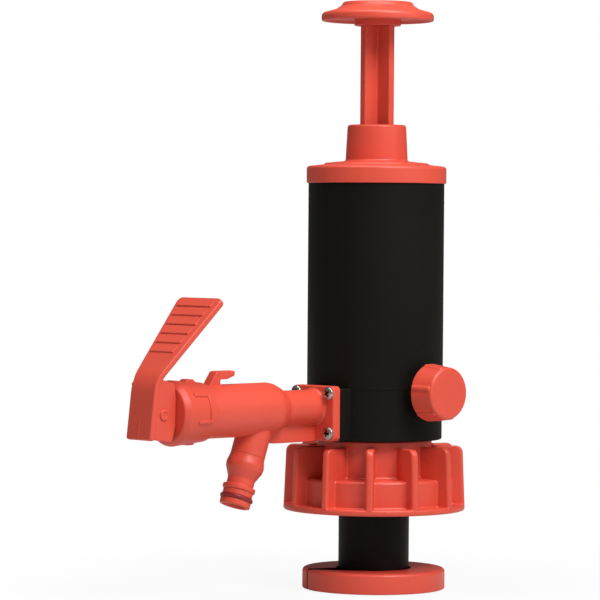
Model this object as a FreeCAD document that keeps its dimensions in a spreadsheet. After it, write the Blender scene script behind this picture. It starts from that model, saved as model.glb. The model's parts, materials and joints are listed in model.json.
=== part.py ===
import FreeCAD, Part
import os
import re
import Sketcher

# Hand air pump for drums: the plunger puts air into the drum through a check valve, and the liquid
# rises through a riser tube to a tap with a thumb lever.
# Frame: millimetres, +Z up the pump's axis, origin at the middle of the foot plate's underside.
# The tap points along -Y and the relief cap along +X.

Vector = FreeCAD.Vector
Rotation = FreeCAD.Rotation

# Driving dimensions. Millimetres and degrees.
SIZES = {
    # foot plate and neck
    "foot_radius": 52.5, "foot_thickness": 15, "foot_round": 2.5,
    "foot_slot_width": 6.5, "foot_slot_bearing": -113,
    "neck_radius": 26, "neck_wall": 3, "neck_showing": 43, "neck_lift": 0.5,
    "foot_groove": 1, "neck_step": 0.3,
    "riser_radius": 10, "riser_wall": 2, "riser_engagement": 10,
    "dip_socket_radius": 8.6, "dip_socket_depth": 25,
    # clamp nut on the neck
    "nut_height": 52, "nut_rim_radius": 66, "nut_rim_thickness": 4.5, "nut_fin_count": 12,
    "nut_fin_thickness": 5, "nut_fin_radius": 64, "nut_fin_drop": 4.5, "nut_fin_round": 5,
    "nut_core_radius": 41, "nut_step_radius": 56.5, "nut_step_drop": 27, "nut_hub_radius": 42.2,
    "nut_wall": 4, "nut_web": 6, "nut_web_drop": 12, "nut_turn": 12, "nut_gap": 0.2,
    "clip_width": 4, "clip_thickness": 2.2, "clip_groove": 1.2, "clip_gap": 0.3,
    "gasket_thickness": 3,
    # pump body
    "body_radius": 50, "body_wall": 3.5, "body_floor": 6, "base_height": 38, "base_step": 0.5,
    "barrel_height": 149.8, "spigot_height": 8, "spigot_step": 2, "ledge_width": 2,
    "plate_height": 20, "plate_thickness": 6, "duct_wall": 3,
    "valve_post_radius": 2, "valve_post_length": 8, "valve_disc_radius": 13,
    "valve_disc_thickness": 1.6, "valve_lift": 3, "port_radius": 2.2, "port_circle": 8.5,
    "port_count": 6,
    # top cap, guide and plunger
    "cap_overhang": 1.2, "cap_rim_height": 12, "cap_wall": 2.5, "cap_round": 2.5,
    "cap_ring_radius": 38, "cap_ring_step": 0.8, "cap_rise": 4.6,
    "turret_radius": 22.8, "turret_height": 26.4, "turret_draft": 1.3, "turret_round": 2,
    "bush_wall": 3, "bush_length": 32, "wiper_height": 4, "lip_height": 5,
    "rod_radius": 15, "rod_rib": 5.6, "rod_showing": 72.8, "rod_lead": 127.8,
    "piston_thickness": 14, "piston_play": 0.3, "cup_height": 6, "cup_width": 6.4,
    "hub_radius": 17.1, "hub_height": 6.5, "knob_radius": 41.3, "knob_lip": 6, "knob_lip_drop": 3.3,
    "knob_crown": 28, "knob_height": 13.2, "knob_cap_radius": 26.9, "knob_cap_rise": 4.5,
    "knob_cap_seat": 2.2,
    "plunger_screw_radius": 2, "plunger_screw_head": 4.5, "plunger_screw_length": 24,
    # tap
    "tap_rise": 25.3, "boss_half_width": 21.1, "boss_stand": 5.3, "boss_height": 39,
    "tap_gasket_thickness": 0.8,
    "flange_thickness": 7.1, "flange_height": 40.5, "flange_drop": 4, "flange_round": 3.5,
    "screw_spacing_wide": 33.2, "screw_spacing_high": 28.9, "screw_radius": 2,
    "screw_head_radius": 4.75, "screw_head_height": 3, "screw_length": 20,
    "pipe_radius": 12.7, "pipe_length": 32.8, "passage_radius": 8, "shoulder_length": 14,
    "valve_radius": 19, "valve_length": 63.7, "valve_bore": 14.5, "seat_radius": 11.5,
    "seat_thickness": 4, "web_thickness": 5, "web_depth": 24.5, "web_run": 9,
    "hook_width": 8, "hook_reach": 29.3, "hook_stem_back": 16, "hook_stem_front": 9.7,
    "hook_foot": 5.7, "hook_rise": 9.5, "hook_arm": 4.9,
    "spout_offset": 6.6, "spout_tilt": 20, "stub_radius": 12.4, "stub_length": 35,
    "stub_spigot": 10.2, "spout_bore": 7, "stub_engagement": 8, "nozzle_bore": 7.5,
    "nozzle_belly": 13.6, "nozzle_neck": 9.4,
    "nozzle_bead": 11.7, "nozzle_end": 10.8, "nozzle_length": 35,
    "nozzle_ring_height": 30.4, "ring_section": 1.3,
    "collar_length": 32.9, "collar_back": 20.3, "collar_front": 22.5, "collar_wall": 3,
    "collar_chamfer": 3.6, "collar_end": 7.6, "collar_lug_rise": 2, "collar_lug_width": 12,
    "collar_lug_length": 15.3, "socket_length": 13,
    "stem_radius": 4, "stem_tail": 4.5, "poppet_thickness": 3, "stem_head": 3.4,
    "gland_length": 7, "gland_radius": 10, "stem_seal_length": 4,
    "spring_radius": 8, "spring_wire": 0.9, "spring_turns": 9,
    # lever: reaches are from the collar's face, heights from the tap's axis
    "pivot_out": 10.4, "pivot_radius": 2, "lever_half_width": 11.6, "lever_plate": 3,
    "front_top_out": 18.9, "front_bottom_out": 24, "lever_bend": 24.2,
    "lever_bottom": -17, "back_top_out": 3, "back_mid_out": 0.15, "heel_out": 7.4,
    "lever_mid": -6.5, "lever_shoulder": 21.5, "pad_tip_back": 32.6, "pad_tip_rise": 79.5,
    "pad_half_width": 20.2, "pad_thickness": 4.4,
    # relief valve
    "relief_rise": 36.1, "relief_boss_radius": 15, "relief_boss_stand": 5.3,
    "nipple_radius": 6, "nipple_flange_radius": 9, "nipple_flange": 1.8, "nipple_thread": 8,
    "nipple_length": 8.6, "nipple_bore": 3.5, "nipple_tail": 8,
    "relief_cap_gap": 7.2, "relief_cap_depth": 18.3, "relief_cap_radius": 21,
    "relief_cap_front": 18.7, "relief_cap_round": 2,
    "relief_stem_radius": 2.6, "relief_head_radius": 7, "relief_seal_thickness": 0.6,
    "relief_stem_head": 1.4, "grip_count": 6, "grip_radius": 3.2, "grip_rise": 1.5, "grip_turn": 18.3,
    # clearances on the radius
    "running_fit": 0.05, "thread_gap": 0.3, "seal_gap": 0.05, "axial_gap": 0.1,
}

document = FreeCAD.newDocument("drum_pump")
sheet = document.addObject("Spreadsheet::Sheet", "sizes")
for row, (alias, size) in enumerate(SIZES.items(), 1):
    sheet.set("A%d" % row, str(size))
    sheet.setAlias("A%d" % row, alias)
document.recompute()

# Heights up the axis, and reaches along the tap, as sums of the driving dimensions.
nut_base = "(foot_thickness + neck_showing)"
nut_top = "(%s + nut_height)" % nut_base
web_top = "(%s - nut_web_drop)" % nut_top
web_base = "(%s - nut_web)" % web_top
body_base = "(%s + nut_gap)" % nut_top
seam = "(%s + base_height)" % body_base
barrel_top = "(%s + barrel_height)" % seam
spigot_top = "(%s + spigot_height)" % barrel_top
plate_base = "(%s + plate_height)" % seam
plate_top = "(%s + plate_thickness)" % plate_base
cylinder_radius = "(body_radius - body_wall)"
foot_seat = "(neck_radius - foot_groove)"
neck_top_radius = "(neck_radius - neck_step)"
cap_top = "(%s + cap_rim_height)" % barrel_top
turret_base = "(%s + cap_rise)" % cap_top
turret_top = "(%s + turret_height)" % turret_base
knob_base = "(%s + rod_showing)" % turret_top
bush_top = "(%s - lip_height - wiper_height)" % turret_top
bush_radius = "(rod_radius + bush_wall)"
rod_end = "(%s - rod_lead)" % knob_base
piston_base = "(%s - piston_thickness)" % rod_end
cup_base = "(%s + (piston_thickness - cup_height) / 2)" % piston_base
tap_height = "(%s + tap_rise)" % body_base
socket_base = "(%s - passage_radius - riser_engagement)" % tap_height
relief_height = "(%s + relief_rise)" % body_base
boss_reach = "(body_radius + boss_stand)"
flange_back = "(%s + tap_gasket_thickness)" % boss_reach
flange_front = "(%s + flange_thickness)" % flange_back
shoulder_base = "(%s + pipe_length)" % flange_front
valve_base = "(%s + shoulder_length)" % shoulder_base
valve_end = "(%s + valve_length)" % valve_base
chamber_base = "(%s + 2)" % valve_base
collar_front_reach = "(%s + collar_length)" % valve_end
collar_bore = "(collar_back - collar_wall)"
gland_base = "(%s - collar_end - gland_length)" % collar_front_reach
spout_root = "(%s + spout_offset)" % valve_base
web_reach = "(%s + web_run)" % shoulder_base
hook_top = "(valve_radius + hook_rise)"
pivot_reach = "(%s + pivot_out)" % collar_front_reach
relief_boss_reach = "(body_radius + relief_boss_stand)"
nipple_front = "(%s + nipple_flange + nipple_length)" % relief_boss_reach
relief_cap_back = "(body_radius + relief_cap_gap)"


def value(formula):
    """The number that a formula of the sheet's sizes gives."""
    return float(sheet.evalExpression(formula))


def bind(thing, attribute, formula):
    """Tie a property to a formula of the sheet's sizes."""
    named = re.sub(r"[a-z]\w*", lambda word: "sizes." + word[0] if word[0] in SIZES else word[0], formula)
    thing.setExpression(attribute, named)


# The four frames that pieces are made in: where each stands and which way its Z points.
FRAMES = {
    "pump": ("0", "0", (0, 0, 1), "0"),
    "nut": ("0", "0", (0, 0, 1), "nut_turn"),
    "tap": ("0", tap_height, (1, 0, 0), "90"),
    "spout": ("-" + spout_root, tap_height, (1, 0, 0), "180 - spout_tilt"),
    "relief": ("0", relief_height, (0, 1, 0), "90"),
}


def place(thing, frame, along="0"):
    """Stand a piece in one of the frames, moved along the frame's own Z."""
    y, z, axis, angle = FRAMES[frame]
    turn = Rotation(Vector(*axis), value(angle))
    step = turn.multVec(Vector(0, 0, 1))
    thing.Placement = FreeCAD.Placement(Vector(0, value(y), value(z)) + step * value(along), turn)
    if value(angle):
        bind(thing, "Placement.Rotation.Angle", angle)
    for letter, base, share in (("x", "0", step.x), ("y", y, step.y), ("z", z, step.z)):
        if frame == "spout" and along != "0":
            share = {"x": 0, "y": "-sin(spout_tilt)", "z": "-cos(spout_tilt)"}[letter]
        bind(thing, "Placement.Base." + letter, "%s + %s * (%s)" % (base, share, along))


def new_body(label, frame="pump"):
    body = document.addObject("PartDesign::Body", "body_" + label)
    body.Label = label
    place(body, frame)
    return body


def new_sketch(body, plane, offset="0", tilt=None):
    """A sketch on one of the body's own planes, lifted off it or tilted about the sketch's X."""
    sketch = body.newObject("Sketcher::SketchObject", body.Name + "_sketch")
    support = [item for item in body.Origin.OriginFeatures if item.Role == plane]
    sketch.AttachmentSupport = [(support[0], "")]
    sketch.MapMode = "FlatFace"
    if tilt:
        sketch.AttachmentOffset = FreeCAD.Placement(Vector(0, 0, 0), Rotation(Vector(1, 0, 0), value(tilt)))
        bind(sketch, "AttachmentOffset.Rotation.Angle", tilt)
    bind(sketch, "AttachmentOffset.Base.z", offset)
    return sketch


def outline(sketch, points):
    """Add a closed run of straight lines whose corners are bound to formulas."""
    places = [Vector(value(x), value(y), 0) for x, y in points]
    first = sketch.GeometryCount
    count = len(points)
    for index in range(count):
        sketch.addGeometry(Part.LineSegment(places[index], places[(index + 1) % count]), False)
    for index in range(count):
        after = first + (index + 1) % count
        sketch.addConstraint(Sketcher.Constraint("Coincident", first + index, 2, after, 1))
    for index, (x, y) in enumerate(points):
        for kind, formula in (("DistanceX", x), ("DistanceY", y)):
            number = sketch.addConstraint(
                Sketcher.Constraint(kind, -1, 1, first + index, 1, value(formula)))
            bind(sketch, "Constraints[%d]" % number, formula)
    return sketch


def circle(sketch, x, y, radius):
    """Add a circle whose centre and radius are bound to formulas."""
    centre = Vector(value(x), value(y), 0)
    number = sketch.addGeometry(Part.Circle(centre, Vector(0, 0, 1), value(radius)), False)
    for kind, formula in (("DistanceX", x), ("DistanceY", y)):
        place_of = sketch.addConstraint(Sketcher.Constraint(kind, -1, 1, number, 3, value(formula)))
        bind(sketch, "Constraints[%d]" % place_of, formula)
    size = sketch.addConstraint(Sketcher.Constraint("Radius", number, value(radius)))
    bind(sketch, "Constraints[%d]" % size, radius)
    return sketch


def revolve(body, points, plane="XZ_Plane"):
    """Turn an outline of (radius, height) corners round the body's Z."""
    sketch = outline(new_sketch(body, plane), points)
    turned = body.newObject("PartDesign::Revolution", body.Name + "_turned")
    turned.Profile = sketch
    turned.ReferenceAxis = (sketch, ["V_Axis"])
    turned.Angle = 360
    document.recompute()
    return turned


def pad(body, sketch, length, midplane=False, backwards=False):
    grown = body.newObject("PartDesign::Pad", body.Name + "_pad")
    grown.Profile = sketch
    grown.Midplane = midplane
    grown.Reversed = backwards
    bind(grown, "Length", length)
    document.recompute()
    return grown


def pocket(body, sketch, length, midplane=False, backwards=False):
    """Cut a sketch into the body, and make sure that it takes something away."""
    before = body.Shape.Volume
    cut = body.newObject("PartDesign::Pocket", body.Name + "_pocket")
    cut.Profile = sketch
    cut.Midplane = midplane
    cut.Reversed = backwards
    bind(cut, "Length", length)
    document.recompute()
    if body.Shape.Volume >= before:
        raise RuntimeError(body.Label + ": a pocket cuts nothing")
    return cut


def ring_of(body, feature, count):
    """Repeat a feature round the body's Z."""
    pattern = body.newObject("PartDesign::PolarPattern", body.Name + "_ring")
    pattern.Originals = [feature]
    axis = [item for item in body.Origin.OriginFeatures if item.Role == "Z_Axis"][0]
    pattern.Axis = (axis, [""])
    pattern.Angle = 360
    bind(pattern, "Occurrences", count)
    body.Tip = pattern
    document.recompute()
    return pattern


def rounded(body, feature, radius, wanted, kind="Fillet"):
    """Round or chamfer the edges that the test picks."""
    names = ["Edge%d" % number for number, edge in enumerate(feature.Shape.Edges, 1) if wanted(edge)]
    if not names:
        raise RuntimeError(body.Label + ": no edge to round")
    smooth = body.newObject("PartDesign::" + kind, body.Name + "_round")
    smooth.Base = (feature, names)
    bind(smooth, "Radius" if kind == "Fillet" else "Size", radius)
    document.recompute()
    return smooth


def rim(radius, height):
    """A test for the circular edge of this radius at this height."""
    wanted_radius = value(radius)
    wanted_height = value(height)

    def test(edge):
        curve = edge.Curve
        if curve.TypeId != "Part::GeomCircle":
            return False
        near = abs(curve.Radius - wanted_radius) < 0.01
        return near and abs(curve.Center.z - wanted_height) < 0.01
    return test


def turned_piece(label, points, frame="pump"):
    body = new_body(label, frame)
    revolve(body, points)
    return body


def ring_piece(label, inner, outer, low, high, frame="pump"):
    return turned_piece(label, [(inner, low), (outer, low), (outer, high), (inner, high)], frame)


def seal_ring(label, radius, section, frame, along):
    """A round-section seal ring."""
    ring = document.addObject("Part::Torus", "ring_" + label)
    ring.Label = label
    bind(ring, "Radius1", radius)
    bind(ring, "Radius2", section)
    place(ring, frame, along)
    return ring


def screw_points(head_radius, head_height, radius, length, top):
    """The outline of a pan-head screw whose head sits on the height top and points up."""
    crown = "%s * 0.72" % head_radius
    return [
        ("0", "%s - %s" % (top, length)), (radius, "%s - %s" % (top, length)), (radius, top),
        (head_radius, top), (head_radius, "%s + %s * 0.45" % (top, head_height)),
        (crown, "%s + %s" % (top, head_height)), ("0", "%s + %s" % (top, head_height)),
    ]


# Foot and neck

def foot_plate():
    """A split disc that springs on to the neck's lower end."""
    body = new_body("foot_plate")
    disc = revolve(body, [
        (foot_seat, "0"), ("foot_radius", "0"), ("foot_radius", "foot_thickness"),
        (foot_seat, "foot_thickness")])
    rounded(body, disc, "foot_round", rim("foot_radius", "foot_thickness"))
    slot = new_sketch(body, "XY_Plane")
    run = "cos(foot_slot_bearing)"
    rise = "sin(foot_slot_bearing)"
    side = "foot_slot_width / 2"
    near = "(neck_radius / 2)"
    far = "(foot_radius + foot_slot_width)"
    outline(slot, [
        ("%s * %s - %s * %s" % (run, near, rise, side), "%s * %s + %s * %s" % (rise, near, run, side)),
        ("%s * %s - %s * %s" % (run, far, rise, side), "%s * %s + %s * %s" % (rise, far, run, side)),
        ("%s * %s + %s * %s" % (run, far, rise, side), "%s * %s - %s * %s" % (rise, far, run, side)),
        ("%s * %s + %s * %s" % (run, near, rise, side), "%s * %s - %s * %s" % (rise, near, run, side)),
    ])
    pocket(body, slot, "foot_thickness", backwards=True)


def neck_tube():
    """The tube that goes down the drum's bung, welded into the body's floor."""
    groove_top = "(%s - clip_gap)" % web_base
    groove_base = "(%s - clip_thickness)" % groove_top
    inner = "neck_radius - neck_wall"
    turned_piece("neck_tube", [
        (inner, "neck_lift"), (foot_seat, "neck_lift"), (foot_seat, "foot_thickness"),
        ("neck_radius", "foot_thickness"), ("neck_radius", nut_base), (neck_top_radius, nut_base),
        (neck_top_radius, groove_base), ("neck_radius - clip_groove", groove_base),
        ("neck_radius - clip_groove", groove_top), (neck_top_radius, groove_top),
        (neck_top_radius, "%s + body_floor" % body_base), (inner, "%s + body_floor" % body_base)])
    ring_piece("nut_clip", "neck_radius - clip_groove", "neck_radius + clip_width", groove_base, groove_top)


def riser_tube():
    """Carries the liquid up the middle of the neck, from the dip tube's socket to the tap's duct."""
    bore = "(riser_radius - riser_wall)"
    top = socket_base + " + riser_engagement"
    turned_piece("riser_tube", [
        ("dip_socket_radius", "0"), ("riser_radius", "0"), ("riser_radius", top), (bore, top),
        (bore, "dip_socket_depth"), ("dip_socket_radius", "dip_socket_depth")])


# Clamp nut

def clamp_nut():
    """A finned coupling nut that swivels on the neck and screws down on the drum's collar."""
    body = new_body("clamp_nut", "nut")
    thread = "(nut_core_radius - nut_wall)"
    ledge = "(%s - nut_step_drop)" % nut_top
    revolve(body, [
        (thread, nut_base), ("nut_rim_radius", nut_base),
        ("nut_rim_radius", "%s + nut_rim_thickness" % nut_base),
        ("nut_step_radius", "%s + nut_rim_thickness" % nut_base),
        ("nut_step_radius", "%s - nut_wall" % ledge), ("nut_core_radius + 2", ledge),
        ("nut_core_radius", ledge), ("nut_core_radius", "%s - nut_fin_drop" % nut_top),
        ("nut_hub_radius", "%s - nut_fin_drop" % nut_top), ("nut_hub_radius", nut_top),
        ("nut_hub_radius - nut_wall", nut_top), ("nut_hub_radius - nut_wall", web_top),
        (neck_top_radius + " + running_fit", web_top), (neck_top_radius + " + running_fit", web_base),
        (thread, web_base)])
    blade = outline(new_sketch(body, "XZ_Plane"), [
        ("nut_core_radius - 1", "%s + 1" % nut_base), ("nut_rim_radius - 0.5", "%s + 1" % nut_base),
        ("nut_fin_radius", "%s - nut_fin_drop" % nut_top),
        ("nut_core_radius - 1", "%s - nut_fin_drop" % nut_top)])
    fin = pad(body, blade, "nut_fin_thickness", midplane=True)
    fins = ring_of(body, fin, "nut_fin_count")
    corner = value("nut_fin_radius")
    top = value("%s - nut_fin_drop" % nut_top)

    def fin_corner(edge):
        middle = edge.CenterOfMass
        flat = abs(edge.BoundBox.ZLength) < 0.01 and abs(middle.z - top) < 0.01
        return flat and abs((middle.x ** 2 + middle.y ** 2) ** 0.5 - corner) < 0.3
    rounded(body, fins, "nut_fin_round", fin_corner)
    ring_piece("drum_gasket", "neck_radius + clip_width + 1", thread + " - thread_gap",
               "%s - gasket_thickness" % web_base, web_base)


# Pump body

def pump_body():
    """One black moulding: the pump cylinder above, the air chamber, tap duct and bosses below."""
    body = new_body("pump_body")
    floor_top = "(%s + body_floor)" % body_base
    revolve(body, [
        (neck_top_radius, body_base), ("body_radius - base_step", body_base),
        ("body_radius - base_step", seam), ("body_radius", seam),
        ("body_radius", barrel_top), ("body_radius - spigot_step", barrel_top),
        ("body_radius - spigot_step", spigot_top), (cylinder_radius, spigot_top),
        (cylinder_radius, plate_base), (cylinder_radius + " - ledge_width", plate_base),
        (cylinder_radius + " - ledge_width", floor_top), (neck_top_radius, floor_top)])
    inside = "(%s - ledge_width - 1)" % cylinder_radius
    boss_top = body_base + " + boss_height"
    tap_boss = outline(new_sketch(body, "XZ_Plane", inside), [
        ("-boss_half_width", body_base), ("boss_half_width", body_base),
        ("boss_half_width", boss_top), ("-boss_half_width", boss_top)])
    pad(body, tap_boss, "%s - %s" % (boss_reach, inside))
    duct = circle(new_sketch(body, "XZ_Plane"), "0", tap_height, "passage_radius + duct_wall")
    pad(body, duct, boss_reach + " - 1")
    socket = circle(new_sketch(body, "XY_Plane", socket_base), "0", "0", "riser_radius + duct_wall")
    pad(body, socket, "riser_engagement + passage_radius + 2 * duct_wall")
    relief_in = "(%s - ledge_width - 1)" % cylinder_radius
    relief_boss = circle(new_sketch(body, "YZ_Plane", relief_in), "0", relief_height, "relief_boss_radius")
    pad(body, relief_boss, "%s - %s" % (relief_boss_reach, relief_in))
    passage = circle(new_sketch(body, "XZ_Plane"), "0", tap_height, "passage_radius")
    pocket(body, passage, boss_reach + " + 5", backwards=True)
    riser_seat = circle(new_sketch(body, "XY_Plane", socket_base), "0", "0", "riser_radius")
    pocket(body, riser_seat, "riser_engagement", backwards=True)
    turn_up = circle(new_sketch(body, "XY_Plane", socket_base), "0", "0", "passage_radius - 0.5")
    pocket(body, turn_up, "riser_engagement + passage_radius + duct_wall", backwards=True)
    relief_hole = circle(new_sketch(body, "YZ_Plane"), "0", relief_height, "nipple_radius")
    pocket(body, relief_hole, relief_boss_reach + " + 5", backwards=True)
    holes = new_sketch(body, "XZ_Plane", boss_reach)
    for side in ("-", ""):
        for level in ("-", "+"):
            circle(holes, side + "screw_spacing_wide / 2",
                   "%s - flange_drop %s screw_spacing_high / 2" % (tap_height, level), "screw_radius")
    pocket(body, holes, "screw_length - flange_thickness - tap_gasket_thickness + 0.5")


def valve_plate():
    """The pump cylinder's floor, with the check valve's ports and post."""
    body = new_body("valve_plate")
    edge = "(%s - thread_gap / 3)" % cylinder_radius
    middle = "(%s + plate_thickness / 2)" % plate_base
    post_end = "(%s - valve_post_length)" % plate_base
    revolve(body, [
        ("0", post_end), ("valve_post_radius", post_end), ("valve_post_radius", plate_base),
        (edge, plate_base), (edge, middle + " - ring_section - seal_gap"),
        (edge + " - 2 * ring_section", middle + " - ring_section - seal_gap"),
        (edge + " - 2 * ring_section", middle + " + ring_section + seal_gap"),
        (edge, middle + " + ring_section + seal_gap"), (edge, plate_top), ("0", plate_top)])
    port = circle(new_sketch(body, "XY_Plane", plate_base), "port_circle", "0", "port_radius")
    cut = pocket(body, port, "plate_thickness", backwards=True)
    ring_of(body, cut, "port_count")
    seal_ring("plate_seal", "%s - ring_section + seal_gap / 2" % edge, "ring_section", "pump", middle)
    disc_top = "(%s - seal_gap)" % plate_base
    disc_base = "(%s - valve_disc_thickness)" % disc_top
    post_hole = "valve_post_radius + running_fit"
    ring_piece("check_valve_disc", post_hole, "valve_disc_radius", disc_base, disc_top)
    clip_top = "(%s - valve_lift - axial_gap)" % disc_base
    ring_piece("check_valve_clip", "valve_post_radius", "valve_post_radius * 2",
               clip_top + " - 1", clip_top)


# Cap, guide and plunger

def top_cap():
    """The red cap with the turret that guides the plunger."""
    body = new_body("top_cap")
    rim_radius = "(body_radius + cap_overhang)"
    roof = "(%s - cap_wall)" % cap_top
    skirt = "(body_radius - spigot_step + running_fit)"
    bush_base = "(%s - bush_length)" % bush_top
    lip = "(rod_radius + 1)"
    shape = revolve(body, [
        (skirt, barrel_top), (rim_radius, barrel_top), (rim_radius, cap_top + " - 1"),
        ("cap_ring_radius + 0.5", cap_top + " + cap_rise / 3"),
        ("cap_ring_radius", cap_top + " + cap_rise / 3 + cap_ring_step"),
        ("turret_radius", turret_base), ("turret_radius - turret_draft", turret_top),
        (lip, turret_top), (lip, turret_top + " - lip_height"),
        (bush_radius, turret_top + " - lip_height"), (bush_radius, bush_base),
        (bush_radius + " + cap_wall", bush_base), (bush_radius + " + cap_wall", roof), (skirt, roof)])
    edge = rounded(body, shape, "cap_round", rim(rim_radius, cap_top + " - 1"))
    rounded(body, edge, "turret_round", rim("turret_radius - turret_draft", turret_top))
    ring_piece("cap_seal", cylinder_radius + " + seal_gap", "body_radius - spigot_step - seal_gap",
               spigot_top, roof)


def rod_guide():
    """The plastic bush and the rubber wiper in the turret."""
    fit = "rod_radius + running_fit"
    ring_piece("rod_guide_bush", fit, bush_radius, bush_top + " - bush_length", bush_top)
    ring_piece("rod_wiper", fit, bush_radius, bush_top, bush_top + " + wiper_height")


def plunger_rod():
    """A cross-ribbed rod, with a screw hole in each end."""
    body = new_body("plunger_rod")
    half = "rod_rib / 2"
    reach = "sqrt(rod_radius * rod_radius - rod_rib * rod_rib / 4)"
    cross = outline(new_sketch(body, "XY_Plane", rod_end), [
        (reach, "-" + half), (reach, half), (half, half), (half, reach),
        ("-" + half, reach), ("-" + half, half), ("-" + reach, half), ("-" + reach, "-" + half),
        ("-" + half, "-" + half), ("-" + half, "-" + reach), (half, "-" + reach), (half, "-" + half)])
    pad(body, cross, "rod_lead")
    for base in (rod_end, "(%s - plunger_screw_length)" % knob_base):
        hole = circle(new_sketch(body, "XY_Plane", base), "0", "0", "plunger_screw_radius")
        pocket(body, hole, "plunger_screw_length", backwards=True)


def piston():
    """The piston, its cup seal, and the washer and screw that hold it to the rod."""
    edge = "(%s - piston_play)" % cylinder_radius
    root = "(%s - cup_width)" % edge
    cup_top = "(%s + cup_height)" % cup_base
    hole = "plunger_screw_radius + 0.1"
    turned_piece("piston", [
        (hole, piston_base), (edge, piston_base), (edge, cup_base), (root, cup_base),
        (root, cup_top), (edge, cup_top), (edge, rod_end), (hole, rod_end)])
    lip = "(%s - running_fit)" % cylinder_radius
    turned_piece("piston_cup_seal", [
        (root, cup_base + " + seal_gap"), (lip, cup_base + " + seal_gap"),
        (lip, cup_base + " + cup_height / 3"), (edge, cup_base + " + cup_height / 2"),
        (edge, cup_top + " - seal_gap"), (root, cup_top + " - seal_gap")])
    washer_base = "(%s - 1.5)" % piston_base
    screw_end = rod_end + " + plunger_screw_length - 1"
    ring_piece("piston_washer", hole, "plunger_screw_head * 2", washer_base, piston_base)
    turned_piece("piston_screw", [
        ("0", washer_base + " - 3"), ("plunger_screw_head * 0.72", washer_base + " - 3"),
        ("plunger_screw_head", washer_base + " - 1.5"), ("plunger_screw_head", washer_base),
        ("plunger_screw_radius", washer_base), ("plunger_screw_radius", screw_end),
        ("0", screw_end)])


def knob():
    """The mushroom knob, screwed to the rod, and the cap that hides the screw."""
    body = new_body("knob")
    lip_base = "(%s + knob_lip_drop)" % knob_base
    lip_top = "(%s + knob_lip)" % lip_base
    top = "(%s + knob_height)" % knob_base
    seat = "(%s - knob_cap_seat)" % top
    screw_seat = "(%s + hub_height - 2)" % knob_base
    under = "(%s + hub_height)" % knob_base
    shape = revolve(body, [
        ("plunger_screw_radius + 0.1", knob_base), ("hub_radius", knob_base), ("hub_radius", under),
        ("knob_radius - 4.5", under + " - 1"), ("knob_radius - 3", lip_base), ("knob_radius", lip_base),
        ("knob_radius", lip_top), ("knob_crown", top), ("knob_cap_radius + seal_gap", top),
        ("knob_cap_radius + seal_gap", seat), ("plunger_screw_head + 1", seat),
        ("plunger_screw_head + 1", screw_seat), ("plunger_screw_radius + 0.1", screw_seat)])
    edge = rounded(body, shape, "knob_lip / 2.5", rim("knob_radius", lip_top))
    rounded(body, edge, "1.2", rim("hub_radius", knob_base), "Chamfer")
    lid = new_body("knob_cap")
    disc = revolve(lid, [
        ("0", seat), ("knob_cap_radius", seat), ("knob_cap_radius", top + " + knob_cap_rise"),
        ("0", top + " + knob_cap_rise")])
    rounded(lid, disc, "1.5", rim("knob_cap_radius", top + " + knob_cap_rise"))
    turned_piece("knob_screw", screw_points(
        "plunger_screw_head", "3", "plunger_screw_radius",
        "(hub_height - 2 + plunger_screw_length - 1)", screw_seat))


# Tap

def tap_gasket():
    """The flat gasket between the body's boss and the tap's flange."""
    body = new_body("tap_gasket", "tap")
    sheet_outline = new_sketch(body, "XY_Plane", boss_reach)
    low = "(0.4 - tap_rise)"
    high = "(boss_height - tap_rise - 0.4)"
    outline(sheet_outline, [("-boss_half_width + 1", low), ("boss_half_width - 1", low),
                            ("boss_half_width - 1", high), ("-boss_half_width + 1", high)])
    circle(sheet_outline, "0", "0", "passage_radius")
    for side in ("-", ""):
        for level in ("-", "+"):
            circle(sheet_outline, side + "screw_spacing_wide / 2",
                   "-flange_drop %s screw_spacing_high / 2" % level, "screw_radius + 0.3")
    pad(body, sheet_outline, "tap_gasket_thickness")


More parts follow.
